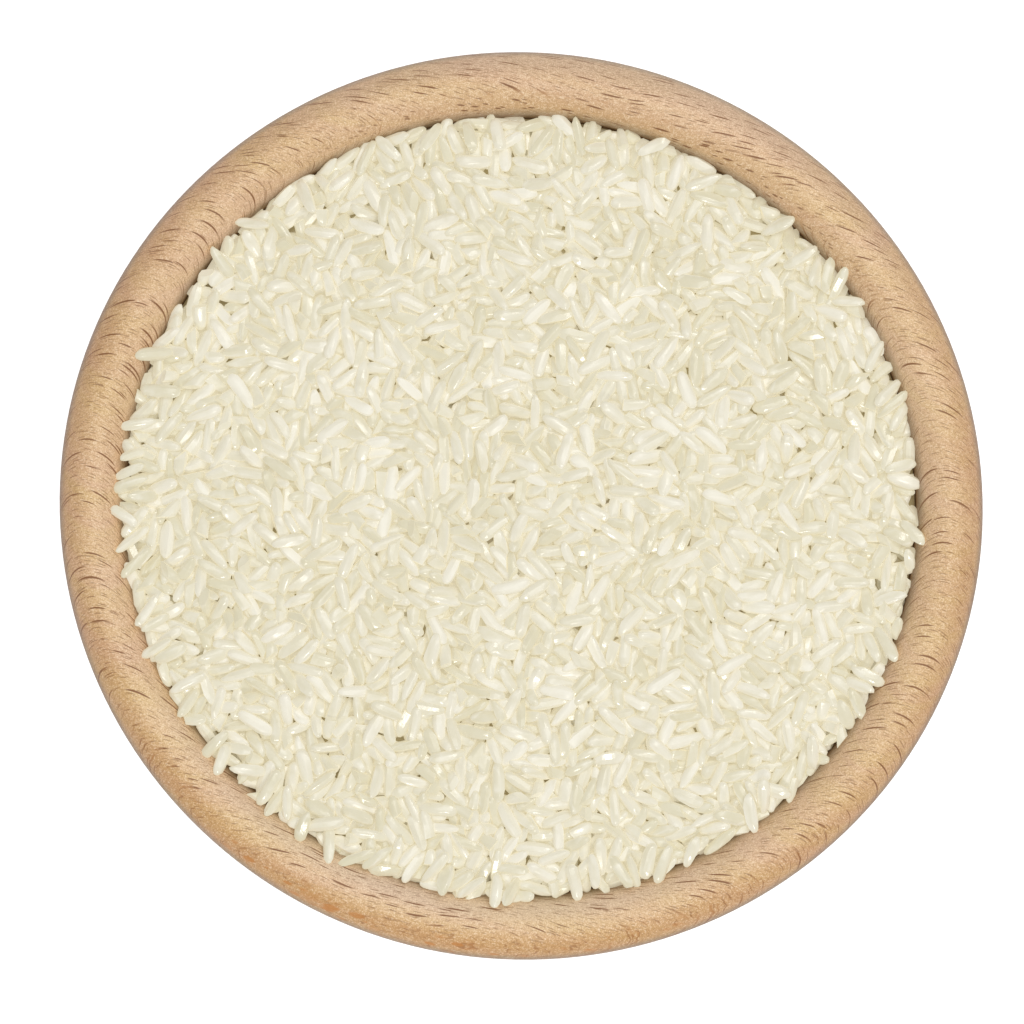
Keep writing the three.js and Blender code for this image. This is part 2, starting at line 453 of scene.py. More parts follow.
        tint = graph.mix(graph.product(pores, self.pores.strength), tint, self.dash)
        for rays, flat_tint in ((self.small_rays, self.scale), (self.rays, self.flake)):
            strength = graph.span(cut_flat, 0.0, 1.0, rays.strength, rays.flat_strength)
            plain = graph.span(dull, 0.0, 1.0, 1.0, self.dull_share)
            shown = graph.product(rays.mask(graph, rippled), strength, plain)
            tint = graph.mix(shown, tint, graph.mix(cut_flat, self.dash, flat_tint))
        streaks = graph.product(self.streaks.mask(graph, spot.wood), dull, self.streaks.strength)
        tint = graph.mix(streaks, tint, self.dash)
        fully_flat = graph.span(spot.flat_on, 0.9, 0.97)
        flecks = graph.product(self.flecks.mask(graph, spot.wood), fully_flat, polished,
                               self.flecks.strength)
        return graph.mix(flecks, tint, self.flake)

    def build(self) -> bpy.types.Material:
        """Makes the material.

        Returns:
            The material.
        """
        graph = NodeGraph(self.name)
        spot = self.spot(graph)
        pores = self.pores.mask(graph, spot.wood)
        tint = self.add_painted_light(graph, spot, self.fresh(graph, spot))
        graph.feed(graph.shader.inputs["Base Color"], self.figured(graph, spot, tint, pores))
        graph.feed(graph.shader.inputs["Roughness"],
                   graph.span(spot.grit, 0.3, 0.7, self.roughness + 0.08, self.roughness - 0.08))
        graph.shader.inputs["IOR"].default_value = 1.45
        relief = graph.math("SUBTRACT", spot.grit, graph.product(pores, 0.5))
        graph.bump(relief, distance=0.06 * MM, strength=0.5)
        return graph.material


@dataclass(frozen=True)
class RiceFinish:
    """Polished raw rice: glassy grains with chalky parts.

    Each corner of a grain carries its tone, its chalk and its frost as numbers. The tone is the same
    all over a grain.

    Light soaks through glassy grains, so their sides and the gaps between them are hardly darker than
    their tops. The shader gives off that soaked light, more of it the more a side turns from the sky.
    """

    name: str
    dull: Colour  # of the grains with the lowest tone
    bright: Colour  # of the grains with the highest tone
    roughness: float = 0.2
    glassy: Colour = colour(176, 172, 148)  # of the clearest patches in a grain
    chalky: Colour = colour(204, 203, 195)  # of the whitest
    soaked: Colour = colour(236, 224, 193)
    glow_above: float = 0.335  # on top of a grain
    glow_beside: float = 0.435  # on its sides
    mottle: float = 0.12  # how far the tone strays within a grain
    glassy_share: float = 0.45  # the most of the glassy colour in a patch
    white_share: float = 0.65  # the most of the chalky colour in a patch
    chalk_roughness: float = 0.5

    def build(self) -> bpy.types.Material:
        """Makes the material.

        Returns:
            The material.
        """
        graph = NodeGraph(self.name)
        place = graph.place()
        tone, chalk, frost = (graph.add("ShaderNodeAttribute", {}, attribute_name=name).outputs["Fac"]
                              for name in ("tone", "chalk", "frost"))
        mottle = graph.noise(place, 0.9, 2.0)
        shade = graph.math("ADD", tone, graph.span(mottle, 0.3, 0.7, -self.mottle, self.mottle))
        tint = graph.mix(shade, self.dull, self.bright)
        veil = graph.product(chalk, graph.span(mottle, 0.35, 0.6, 0.6, 1.0))
        tint = graph.mix(graph.span(frost, 0.45, 0.0, 0.0, self.glassy_share), tint, self.glassy)
        tint = graph.mix(graph.span(frost, 0.6, 1.0, 0.0, self.white_share), tint, self.chalky)
        tint = graph.mix(veil, tint, self.chalky)
        graph.feed(graph.shader.inputs["Base Color"], tint)
        graph.feed(graph.shader.inputs["Roughness"],
                   graph.span(veil, 0.0, 1.0, self.roughness, self.chalk_roughness))
        glow = graph.span(graph.facing((0.0, 0.0, 1.0)), 0.1, 1.0, self.glow_beside, self.glow_above)
        graph.feed(graph.shader.inputs["Emission Color"], self.soaked)
        graph.feed(graph.shader.inputs["Emission Strength"], glow)
        graph.material.cycles.emission_sampling = "NONE"
        graph.shader.inputs["IOR"].default_value = 1.5
        graph.bump(graph.noise(place, 2.6, 2.0), distance=0.05 * MM, strength=0.35)
        return graph.material


def finished_piece(name: str, mesh: bpy.types.Mesh, material: bpy.types.Material) -> bpy.types.Object:
    """Puts a mesh in the scene as a piece that rides on the part.

    Args:
        name: The piece's name.
        mesh: Its mesh, in place.
        material: Its finish.

    Returns:
        The new object.
    """
    piece = bpy.data.objects.new(name, mesh)
    bpy.context.scene.collection.objects.link(piece)
    mesh.materials.append(material)
    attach(piece, BODY)
    log.info("%s: %d faces", name, len(mesh.polygons))
    return piece


@dataclass
class Bowl:
    """The turned bowl, a slight oval because wood shrinks across its fibres as it dries."""

    outer_radius: float = 72 * MM  # along the fibres
    across_share: float = 0.981
    height: float = 60 * MM
    lip_thickness: float = 10.2 * MM
    lip_rounding: float = 5.3 * MM
    floor_thickness: float = 9 * MM
    foot_radius: float = 36 * MM
    foot_edge: float = 1.2 * MM
    recess_radius: float = 28 * MM
    recess_depth: float = 1.4 * MM
    turns: int = 192
    curve_steps: int = 28
    finish: BeechFinish = BeechFinish()

    @property
    def lip_radius(self) -> float:
        """Half the lip's thickness."""
        return self.lip_thickness / 2

    @property
    def lip_centre(self) -> float:
        """Distance of the lip's crest from the axis."""
        return self.outer_radius - self.lip_radius

    @property
    def lip_base(self) -> float:
        """Height where the lip's half round starts."""
        return self.height - self.lip_rounding

    @property
    def inner_radius(self) -> float:
        """Radius of the mouth just under the lip."""
        return self.outer_radius - self.lip_thickness

    def curve(self, *controls: tuple[float, float]) -> list[tuple[float, float]]:
        """Samples a cubic curve, without its first point.

        Args:
            *controls: Its four control points, as radius and height.

        Returns:
            The points.
        """
        shares = np.linspace(0, 1, self.curve_steps + 1)[1:, None]
        first, second, third, fourth = (np.array(control) for control in controls)
        points = ((1 - shares) ** 3 * first + 3 * (1 - shares) ** 2 * shares * second
                  + 3 * (1 - shares) * shares ** 2 * third + shares ** 3 * fourth)
        return [tuple(point) for point in points]

    def hollow(self) -> list[tuple[float, float]]:
        """Gives the inside from under the lip down to the middle of the floor.

        Returns:
            Points as radius and height, without the first.
        """
        return self.curve(
            (self.inner_radius, self.lip_base),
            (self.inner_radius - 0.2 * MM, self.lip_base * 0.42),
            (self.inner_radius * 0.86, self.floor_thickness + 1 * MM),
            (0.0, self.floor_thickness),
        )

    def section(self) -> list[tuple[float, float]]:
        """Gives the bowl's whole section, from the axis under the foot to the axis in the hollow.

        Returns:
            Points as radius and height.
        """
        foot = [
            (0.0, self.recess_depth),
            (self.recess_radius - 2 * self.recess_depth, self.recess_depth),
            (self.recess_radius - self.recess_depth, self.recess_depth * 0.94),
            (self.recess_radius - 0.3 * MM, 0.25 * MM),
            (self.recess_radius, 0.0),
            (self.foot_radius, 0.0),
            (self.foot_radius + self.foot_edge * 0.7, self.foot_edge * 0.3),
            (self.foot_radius + self.foot_edge, self.foot_edge),
        ]
        outside = self.curve(
            foot[-1],
            (self.outer_radius * 0.8, self.height * 0.12),
            (self.outer_radius - 0.3 * MM, self.height * 0.46),
            (self.outer_radius, self.lip_base),
        )
        bearings = np.linspace(0, math.pi, self.curve_steps + 1)[1:]
        lip = [(self.lip_centre + self.lip_radius * math.cos(bearing),
                self.lip_base + self.lip_rounding * math.sin(bearing)) for bearing in bearings]
        return foot + outside + lip + self.hollow()

    def turned(self, name: str, section: list[tuple[float, float]]) -> bpy.types.Mesh:
        """Turns a section round the axis and shrinks it across the fibres.

        Args:
            name: The mesh's name.
            section: Points as radius and height, with both ends on the axis.

        Returns:
            The closed mesh.
        """
        model = bmesh.new()
        chain = [model.verts.new((radius, 0.0, height)) for radius, height in section]
        sides = [model.edges.new(pair) for pair in zip(chain, chain[1:])]
        bmesh.ops.spin(model, geom=chain + sides, axis=(0, 0, 1), cent=(0, 0, 0),
                       angle=2 * math.pi, steps=self.turns, use_merge=True)
        bmesh.ops.remove_doubles(model, verts=model.verts, dist=0.01 * MM)
        bmesh.ops.scale(model, verts=model.verts, vec=(1.0, self.across_share, 1.0))
        bmesh.ops.recalc_face_normals(model, faces=model.faces)
        for face in model.faces:
            face.smooth = True
        mesh = bpy.data.meshes.new(name)
        model.to_mesh(mesh)
        model.free()
        return mesh

    def build(self) -> bpy.types.Object:
        """Makes the bowl and dresses it.

        Returns:
            The piece.
        """
        mesh = self.turned("bowl_turned", self.section())
        piece = finished_piece("bowl_turned", mesh, self.finish.build())
        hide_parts("bowl")
        return piece

    def share_out(self, x: np.ndarray, y: np.ndarray) -> np.ndarray:
        """Gives the distance from the axis, as it was before the wood shrank.

        Args:
            x: Places along the fibres.
            y: Places across them.

        Returns:
            The distances.
        """
        return np.hypot(x, y / self.across_share)

    def lip_height(self, x: np.ndarray, y: np.ndarray) -> np.ndarray:
        """Gives the height of the lip's top, where there is one.

        Args:
            x: Places along the fibres.
            y: Places across them.

        Returns:
            The heights, and 0 in the mouth and outside the bowl.
        """
        offset = (self.share_out(x, y) - self.lip_centre) / self.lip_radius
        rise = np.sqrt(np.clip(1 - offset ** 2, 0, None))
        return np.where(np.abs(offset) < 1, self.lip_base + self.lip_rounding * rise, 0.0)


class GrainKind(Enum):
    """The kinds of grain, each with its own piece."""

    CLEAR = "rice_clear"
    MILKY = "rice_milky"
    CHALKY = "rice_chalky"
    BROKEN = "rice_broken"
    BEDDED = "rice_bedded"


@dataclass(frozen=True)
class GrainModeller:
    """Models a grain: tapered tips, flattened and ridged sides, an arched back, and a nick for the germ.

    The form is a unit long and wide each way from its middle, with its long axis along X.
    """

    sides: int = 8
    rings: int = 7
    bluntness: float = 3.4  # of the tips, on average
    flattening: float = 3.0  # 2 makes the grain round across, and more makes it flatter on top
    ridge: float = 0.13  # share of its width that its lengthwise ridges stand out or back
    roughness: float = 0.055  # share of its width that its sides stray from the smooth form
    crease: float = 0.7  # share of the lengthwise ridges that are sharp
    bluntness_spread: tuple[float, float] = (0.65, 1.5)  # shares of the average bluntness
    arch: tuple[float, float] = (0.04, 0.3)  # of the back, in half widths
    taper: float = 0.2  # the most that one end is wider than the middle
    crowding: float = 0.68  # under 1 to bring the rings nearer to the tips
    nick_start: float = 0.4  # how far along the nick starts
    cut: tuple[float, float] = (-0.2, 0.35)  # how far along a grain breaks
    slant: float = 0.3  # the most that a break leans

    def whole(self, chance: np.random.Generator, nick: float) -> bmesh.types.BMesh:
        """Models a whole grain.

        Args:
            chance: The random numbers that set its arch, its taper and its unevenness.
            nick: Depth of the nick, in half widths.

        Returns:
            The model.
        """
        arch = chance.uniform(*self.arch)
        taper = chance.uniform(-self.taper, self.taper)
        bluntness = self.bluntness * chance.uniform(*self.bluntness_spread)
        ridges = chance.uniform(1 - self.ridge, 1 + self.ridge, self.sides)
        twist = chance.uniform(0, math.tau / self.sides)
        model = bmesh.new()
        bmesh.ops.create_uvsphere(model, u_segments=self.sides, v_segments=self.rings, radius=1.0)
        bmesh.ops.rotate(model, verts=model.verts, matrix=Matrix.Rotation(math.pi / 2, 3, "Y"))
        for vert in model.verts:
            along, across, up = vert.co
            bearing = math.atan2(up, across)
            side = round(bearing / math.tau * self.sides) % self.sides
            bearing += twist
            along = math.copysign(abs(along) ** self.crowding, along)
            width = math.sqrt(max(1 - abs(along) ** bluntness, 0.0)) * (1 + taper * along)
            width *= ridges[side] + chance.uniform(-self.roughness, self.roughness)
            roundness = abs(math.cos(bearing)) ** self.flattening + abs(math.sin(bearing)) ** self.flattening
            reach = width * roundness ** (-1 / self.flattening)
            across = reach * math.cos(bearing)
            if along > self.nick_start:
                nick_here = nick * (along - self.nick_start) / (1 - self.nick_start)
                across = max(across, -width * (1 - nick_here))
            vert.co = (along, across + arch * (0.5 - along ** 2), reach * math.sin(bearing))
        for edge in model.edges:
            first, second = (vert.co for vert in edge.verts)
            is_lengthwise = abs(first.x - second.x) > 0.1
            edge.smooth = not (is_lengthwise and chance.random() < self.crease)
        return model

    def broken(self, chance: np.random.Generator) -> bmesh.types.BMesh:
        """Models a broken grain, cut through at a slant.

        Args:
            chance: The random numbers that set its break and its unevenness.

        Returns:
            The model.
        """
        cut = chance.uniform(*self.cut)
        slant = chance.uniform(-self.slant, self.slant)
        model = self.whole(chance, 0.0)
        geometry = [*model.verts, *model.edges, *model.faces]
        bmesh.ops.bisect_plane(model, geom=geometry, plane_co=(cut, 0, 0),
                               plane_no=(1.0, slant, 0.4 * slant), clear_outer=True)
        rim = [edge for edge in model.edges if edge.is_boundary]
        bmesh.ops.holes_fill(model, edges=rim, sides=0)
        for edge in rim:
            edge.smooth = False
        middle = (cut - 1) / 2
        bmesh.ops.translate(model, verts=model.verts, vec=(-middle, 0, 0))
        bmesh.ops.scale(model, verts=model.verts, vec=(2 / (1 + cut), 1, 1))
        return model

    def form(self, model: bmesh.types.BMesh, chance: np.random.Generator) -> bpy.types.Mesh:
        """Turns a model into a mesh that carries its belly and its frost, and frees the model.

        Args:
            model: The model.
            chance: The random numbers that set its frost.

        Returns:
            Its mesh. Belly is 1 along the side where chalk shows, down to 0 on the other side. Frost is 0 in
            its clearest patches and 1 in its whitest.
        """
        bmesh.ops.recalc_face_normals(model, faces=model.faces)
        belly = model.verts.layers.float.new("belly")
        frost = model.verts.layers.float.new("frost")
        for vert in model.verts:
            vert[belly] = min(max(0.5 + 0.6 * vert.co.y, 0.0), 1.0)
            vert[frost] = chance.random()
        for face in model.faces:
            face.smooth = True
        mesh = bpy.data.meshes.new("grain")
        model.to_mesh(mesh)
        model.free()
        return mesh


@dataclass
class Grain:
    """One grain, laid in the heap."""

    middle: np.ndarray
    turn: float  # round the vertical, from +X
    slope: float  # rise over run along it
    roll: float
    half_size: np.ndarray  # half its length, width and thickness
    kind: GrainKind
    tone: float
    chalk: float

    def matrix(self) -> Matrix:
        """Gives the matrix that takes a grain's form to its place.

        Returns:
            A 4 by 4 matrix.
        """
        turned = Matrix.Rotation(self.turn, 4, "Z") @ Matrix.Rotation(-math.atan(self.slope), 4, "Y")
        rolled = turned @ Matrix.Rotation(self.roll, 4, "X")
        return Matrix.Translation(self.middle) @ rolled @ Matrix.Diagonal((*self.half_size, 1.0))


@dataclass
class HeapSurface:
    """The heights of the heap's surface as it grows, on a square grid."""

    bowl: Bowl
    cell: float = 0.25 * MM
    heights: np.ndarray = field(init=False)
    half: int = field(init=False)

    def __post_init__(self) -> None:
        """Lays out the empty grid with the bowl's lip in it."""
        self.half = math.ceil(self.bowl.outer_radius / self.cell)
        x, y = self.grid(slice(None), slice(None))
        self.heights = self.bowl.lip_height(x, y)

    def grid(self, columns: slice, rows: slice) -> tuple[np.ndarray, np.ndarray]:
        """Gives the places of a block of cells.

        Args:
            columns: The cells along X.
            rows: The cells along Y.

        Returns:
            Their x and y.
        """
        steps = (np.arange(2 * self.half + 1) - self.half) * self.cell
        return np.meshgrid(steps[columns], steps[rows], indexing="ij")

    def index(self, place: np.ndarray) -> np.ndarray:
        """Gives the nearest cell to each place along one axis."""
        return np.clip(np.rint(place / self.cell).astype(int) + self.half, 0, 2 * self.half)

    def at(self, x: np.ndarray, y: np.ndarray) -> np.ndarray:
        """Reads the height at places."""
        return self.heights[self.index(x), self.index(y)]

    def cover(self, grain: Grain, bedding: float) -> None:
        """Raises the surface to the top of a grain.

        Args:
            grain: The grain, laid.
            bedding: Share of its size that others keep clear of.
        """
        size = grain.half_size * bedding
        reach = size[0]
        x, y, _ = grain.middle
        first_x, last_x = self.index(np.array([x - reach, x + reach]))
        first_y, last_y = self.index(np.array([y - reach, y + reach]))
        block = slice(first_x, last_x + 1), slice(first_y, last_y + 1)
        block_x, block_y = self.grid(*block)
        along = (block_x - x) * math.cos(grain.turn) + (block_y - y) * math.sin(grain.turn)
        across = (block_y - y) * math.cos(grain.turn) - (block_x - x) * math.sin(grain.turn)
        rise = grain_rise(along / size[0], across / size[1])
        top = grain.middle[2] + grain.slope * along + size[2] * rise
        self.heights[block] = np.where(rise > 0, np.maximum(self.heights[block], top), self.heights[block])


def grain_rise(along: np.ndarray, across: np.ndarray) -> np.ndarray:
    """Gives how far a grain's surface stands over its middle plane.

    Args:
        along: Places along the grain, in half lengths.
        across: Places across it, in half widths.

    Returns:
        The heights, in half thicknesses, and 0 outside the grain.
    """
    flattening = GrainModeller.flattening
    width = np.sqrt(np.clip(1 - np.abs(along) ** GrainModeller.bluntness, 0, None))
    return np.clip(width ** flattening - np.abs(across) ** flattening, 0, None) ** (1 / flattening)


def underside(size: np.ndarray) -> tuple[np.ndarray, np.ndarray, np.ndarray]:
    """Gives spots on the underside of a grain.

    Args:
        size: Half the grain's length, width and thickness.

    Returns:
        How far along, across and under its middle each spot lies.
    """
    along, across = np.meshgrid(np.linspace(-0.96, 0.96, 17), np.linspace(-0.9, 0.9, 7))
    rise = grain_rise(along, across)
    inside = rise > 0
    return along[inside] * size[0], across[inside] * size[1], rise[inside] * size[2]


@dataclass(frozen=True)
class Fall:
    """How a grain is dropped on the heap."""

    kind: GrainKind
    half_length: tuple[float, float]  # the shortest and the longest
    places: int  # that it falls past
    highest: float  # the highest over the heap's level that its middle may lie
    is_stray: bool = False  # True to lay it at the wall, free to reach over the lip


@dataclass
class RiceHeap:
    """The rice: grains poured over a core, each laid where it comes to rest lowest."""

    bowl: Bowl
    edge_depth: float = 3.7 * MM  # under the top of the lip
    dome: float = 2.6 * MM
    unevenness: float = 0.35 * MM
    lean: tuple[float, float] = (-0.5 * MM, -0.8 * MM)  # rise of the heap's level at the wall, along X and Y
    swell_lengths: tuple[float, float, float] = (74 * MM, 57 * MM, 39 * MM)
    contact_gap: float = 0.3 * MM
    core_depth: float = 2.4 * MM  # under the heap's level
    half_length: tuple[float, float] = (2.55 * MM, 3.3 * MM)
    half_broken: tuple[float, float] = (1.3 * MM, 2.3 * MM)
    half_bit: tuple[float, float] = (0.8 * MM, 1.3 * MM)
    half_width: tuple[float, float] = (0.84 * MM, 1.1 * MM)
    flatness: float = 0.74
    over_level: tuple[float, float] = (0.1 * MM, 0.8 * MM)  # how high over the level a middle may lie
    places: int = 30  # that each grain falls past
    hollows: int = 8  # the lowest of these places, where it looks for rest
    turns: int = 4  # that it tries in each of them
    gap_places: int = 400  # that each bit falls past, to find the gaps
    overhang: float = 0.8 * MM  # how far a grain's end may reach over the lip
    strays: int = 110  # that are tried: grains that lie across the lip's inner edge
    stray_places: int = 2  # that each of them falls past
    stray_share: float = 0.95  # of the mouth's radius, where they start
    stray_level: float = 1.9 * MM  # the highest over the heap's level that their middles may lie
    stray_turn: float = 0.9  # the most that they turn from pointing straight at the wall
    jam: float = 0.25 * MM  # how far over its lowest rest a grain may jam
    steepest: float = 0.9  # slope that a grain may rest at
    slope_steps: int = 37
    slope_cost: float = 0.2 * MM  # how much lower a grain has to lie to rest at a slope of 1
    bedding: float = 0.74  # share of its size that a grain keeps clear of the others
    wall_room: float = 0.14  # how much more it keeps clear at the wall, where grains lie looser
    wall_fade: int = 8  # how suddenly that room sets in towards the wall
    roll: float = 0.35  # of a grain about its long axis, as a standard deviation
    chalk: tuple[float, float] = (0.0, 0.25)  # of most grains
    full_chalk: tuple[float, float] = (0.55, 1.0)  # of the chalky ones
    buried: float = 0.3 * MM  # how deep all of a grain lies under the surface where others cover it whole
    most_refused: int = 120
    bits: int = 260  # that are tried in the gaps
    gap_level: float = -0.2 * MM  # the highest over the heap's level that a bit's middle may lie
    shares: dict[GrainKind, float] = field(default_factory=lambda: {
        GrainKind.CLEAR: 0.37, GrainKind.MILKY: 0.23, GrainKind.CHALKY: 0.08, GrainKind.BROKEN: 0.32,
    })
    seed: int = 11

    def level(self, x: np.ndarray, y: np.ndarray) -> np.ndarray:
        """Gives the height of the heap's level, before its grains.

        Args:
            x: Places along the fibres.
            y: Places across them.

        Returns:
            The heights.
        """
        def wave(place: np.ndarray, length: float, start: float) -> np.ndarray:
            """Gives a wave of one length."""
            return np.sin(2 * math.pi * place / length + start)

        share = self.bowl.share_out(x, y) / self.bowl.inner_radius
        fade = np.clip(1 - share ** 6, 0, None)
        along, across, slantwise = self.swell_lengths
        straight = y / self.bowl.across_share
        swell = wave(x, along, 0.6) * wave(straight, across, 0.7) + 0.5 * wave(x - straight, slantwise, 0.0)
        lean = (self.lean[0] * x + self.lean[1] * straight) / self.bowl.inner_radius
        return (self.bowl.height - self.edge_depth + lean * share ** 2
                + (self.dome * (1 - share ** 2.4) + self.unevenness * swell) * fade)

    def core(self) -> bpy.types.Object:
        """Makes the rice under the poured grains.

        Returns:
            The piece.
        """
        edge = self.bowl.inner_radius - self.contact_gap
        radii = np.linspace(0, edge, 40)
        heights = self.level(radii, np.zeros_like(radii)) - self.core_depth
        top = [(float(radius), float(height)) for radius, height in zip(radii, heights)]
        side = [(radius - self.contact_gap, height + self.contact_gap)
                for radius, height in self.bowl.hollow() if height < top[-1][1] - 1 * MM]
        section = top + side[:-1] + [(0.0, side[-1][1])]
        mesh = self.bowl.turned("rice_core", section)
        # Painted shade and painted light: the core is coloured as rice in the shade deep in the gaps, darker
        # and more olive, with a faint glow.
        finish = RiceFinish("rice_core", colour(160, 146, 98), colour(172, 158, 110),
                            soaked=colour(206, 178, 128), glow_above=0.11, glow_beside=0.11)
        piece = finished_piece("rice_core", mesh, finish.build())
        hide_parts("rice")
        return piece

    def candidates(self, surface: HeapSurface, fall: Fall,
                   chance: np.random.Generator) -> tuple[np.ndarray, np.ndarray, np.ndarray]:
        """Picks where a grain may come to rest: turned several ways in the deepest of the places it passes.

        Args:
            surface: The heap so far.
            fall: How the grain is dropped.
            chance: The random numbers.

        Returns:
            The x, the y and the turn of each.
        """
        start = self.stray_share ** 2 if fall.is_stray else 0.0
        reach = self.bowl.inner_radius * np.sqrt(chance.uniform(start, 1.0, fall.places))
        bearing = 2 * math.pi * chance.random(fall.places)
        x = reach * np.cos(bearing)
        y = reach * np.sin(bearing) * self.bowl.across_share
        deepest = np.argsort(surface.at(x, y) - self.level(x, y))[:self.hollows].repeat(self.turns)
        turn = math.pi * chance.random(len(deepest))
        if fall.is_stray:
            turn = bearing[deepest] + chance.uniform(-self.stray_turn, self.stray_turn, len(deepest))
        return x[deepest], y[deepest], turn

    def settle(self, surface: HeapSurface, size: np.ndarray, fall: Fall,
               chance: np.random.Generator) -> tuple[np.ndarray, float, float, float]:
        """Finds where a grain comes to rest: about the lowest of its candidates.

        Args:
            surface: The heap so far.
            size: Half the grain's length, width and thickness.
            fall: How it is dropped.
            chance: The random numbers.

        Returns:
            Its middle, its turn, its slope, and its height over the heap's level, which has no end where
            it would reach too far over the lip.
        """
        x, y, turn = self.candidates(surface, fall, chance)
        along, across, under = underside(size)
        spot_x = x[:, None] + along * np.cos(turn)[:, None] - across * np.sin(turn)[:, None]
        spot_y = y[:, None] + along * np.sin(turn)[:, None] + across * np.cos(turn)[:, None]
        needed = surface.at(spot_x, spot_y) + under
        slopes = np.linspace(-self.steepest, self.steepest, self.slope_steps)
        rest = (needed[:, :, None] - along[None, :, None] * slopes).max(axis=1)
        slope = slopes[rest.argmin(axis=1)]
        height = rest.min(axis=1)
        over = height - self.level(x, y)
        out = self.bowl.share_out(spot_x, spot_y).max(axis=1) - self.bowl.inner_radius
        is_out = (out > self.overhang) & (not fall.is_stray)
        cost = over + self.slope_cost * np.abs(slope) + np.where(is_out, self.bowl.height, 0.0)
        cost += chance.uniform(0, self.jam, len(cost))
        best = int(cost.argmin())
        middle = np.array([x[best], y[best], height[best]])
        return middle, turn[best], slope[best], math.inf if is_out[best] else over[best]

    def lay(self, grains: list[Grain], surface: HeapSurface, fall: Fall,
            chance: np.random.Generator) -> bool:
        """Lays one grain, unless it would lie too high.

        Args:
            grains: The grains so far, to which it is added.
            surface: The heap so far.
            fall: How it is dropped.
            chance: The random numbers.

        Returns:
            True where the grain is laid.
        """
        width = chance.uniform(*self.half_width)
        size = np.array([chance.uniform(*fall.half_length), width, width * self.flatness])
        middle, turn, slope, over = self.settle(surface, size * self.bedding, fall, chance)
        if over > fall.highest:
            return False
        chalk = chance.uniform(*(self.full_chalk if fall.kind is GrainKind.CHALKY else self.chalk))
        if chance.random() < 0.5:
            turn, slope = turn + math.pi, -slope
        roll = chance.normal(0, self.roll)
        grain = Grain(middle, turn, slope, roll, size, fall.kind, chance.random(), chalk)
        nearness = min(self.bowl.share_out(*middle[:2]) / self.bowl.inner_radius, 1.0)
        surface.cover(grain, self.bedding + self.wall_room * nearness ** self.wall_fade)
        grains.append(grain)
        return True

    def pour(self) -> list[Grain]:
        """Lays grains until no more find room, then strays at the wall, and then bits in the gaps.

        Returns:
            The grains.
        """
        chance = np.random.default_rng(self.seed)
        surface = HeapSurface(self.bowl)
        x, y = surface.grid(slice(None), slice(None))
        surface.heights = np.maximum(surface.heights, self.level(x, y) - self.core_depth)
        kinds = list(self.shares)
        grains: list[Grain] = []
        refused = 0
        while refused < self.most_refused:
            kind = kinds[int(chance.choice(len(kinds), p=list(self.shares.values())))]
            half_length = self.half_broken if kind is GrainKind.BROKEN else self.half_length
            fall = Fall(kind, half_length, self.places, chance.uniform(*self.over_level))
            refused = 0 if self.lay(grains, surface, fall, chance) else refused + 1
        log.info("rice: %d grains poured", len(grains))
        stray = Fall(GrainKind.CLEAR, self.half_length, self.stray_places, self.stray_level, is_stray=True)
        bit = Fall(GrainKind.BROKEN, self.half_bit, self.gap_places, self.gap_level)
        for name, fall, tries in (("strays", stray, self.strays), ("bits", bit, self.bits)):
            laid = sum(self.lay(grains, surface, fall, chance) for _ in range(tries))
            log.info("rice: %d %s", laid, name)
        self.bury(grains, surface)
        return grains

    def bury(self, grains: list[Grain], surface: HeapSurface) -> None:
        """Marks the grains that others cover whole.

        Args:
            grains: All the grains.
            surface: The finished heap's surface.
        """
        steps = np.linspace(-0.8, 0.8, 9)
        for grain in grains:
            along = steps * grain.half_size[0]
            x = grain.middle[0] + along * math.cos(grain.turn)
            y = grain.middle[1] + along * math.sin(grain.turn)
            top = grain.middle[2] + along * grain.slope + grain.half_size[2] * grain_rise(steps, 0 * steps)
            if (surface.at(x, y) - top > self.buried).all():
                grain.kind = GrainKind.BEDDED

    def forms(self) -> dict[GrainKind, list[bpy.types.Mesh]]:
        """Models the forms of each kind of grain.

        Returns:
            The forms.
        """
        chance = np.random.default_rng(self.seed)
        fine = GrainModeller()
        plain = GrainModeller(sides=6, rings=5)
        nicks = (0.5, 0.8, 0.0, 0.6, 0.9, 0.3, 0.0, 0.7, 0.2, 0.6)  # depths, in half widths
        whole = (GrainKind.CLEAR, GrainKind.MILKY, GrainKind.CHALKY)
        forms = {kind: [fine.form(fine.whole(chance, nick), chance) for nick in nicks] for kind in whole}
        forms[GrainKind.BROKEN] = [fine.form(fine.broken(chance), chance) for _ in nicks]
        forms[GrainKind.BEDDED] = [plain.form(plain.whole(chance, nick), chance) for nick in nicks[:2]]
        return forms

    def joined(self, name: str, grains: list[Grain], forms: list[bpy.types.Mesh]) -> bpy.types.Mesh:
        """Joins many grains into one mesh.

        Args:
            name: The mesh's name.
            grains: The grains.
            forms: The forms that they take in turn.

        Returns:
            The mesh, in which each vertex carries its grain's tone and chalk.
        """
        model = bmesh.new()
        counts = []
        for number, grain in enumerate(grains):
            copy = forms[number % len(forms)].copy()
            copy.transform(grain.matrix())
            model.from_mesh(copy)
            counts.append(len(copy.vertices))
            bpy.data.meshes.remove(copy)
        mesh = bpy.data.meshes.new(name)
        model.to_mesh(mesh)
        model.free()
        belly = np.zeros(len(mesh.vertices), np.float32)
        mesh.attributes["belly"].data.foreach_get("value", belly)
        tones = np.repeat([grain.tone for grain in grains], counts)
        chalks = np.repeat([grain.chalk for grain in grains], counts) * belly
        for attribute, values in (("tone", tones), ("chalk", chalks)):
            layer = mesh.attributes.new(attribute, "FLOAT", "POINT")
            layer.data.foreach_set("value", values.astype(np.float32))
        return mesh

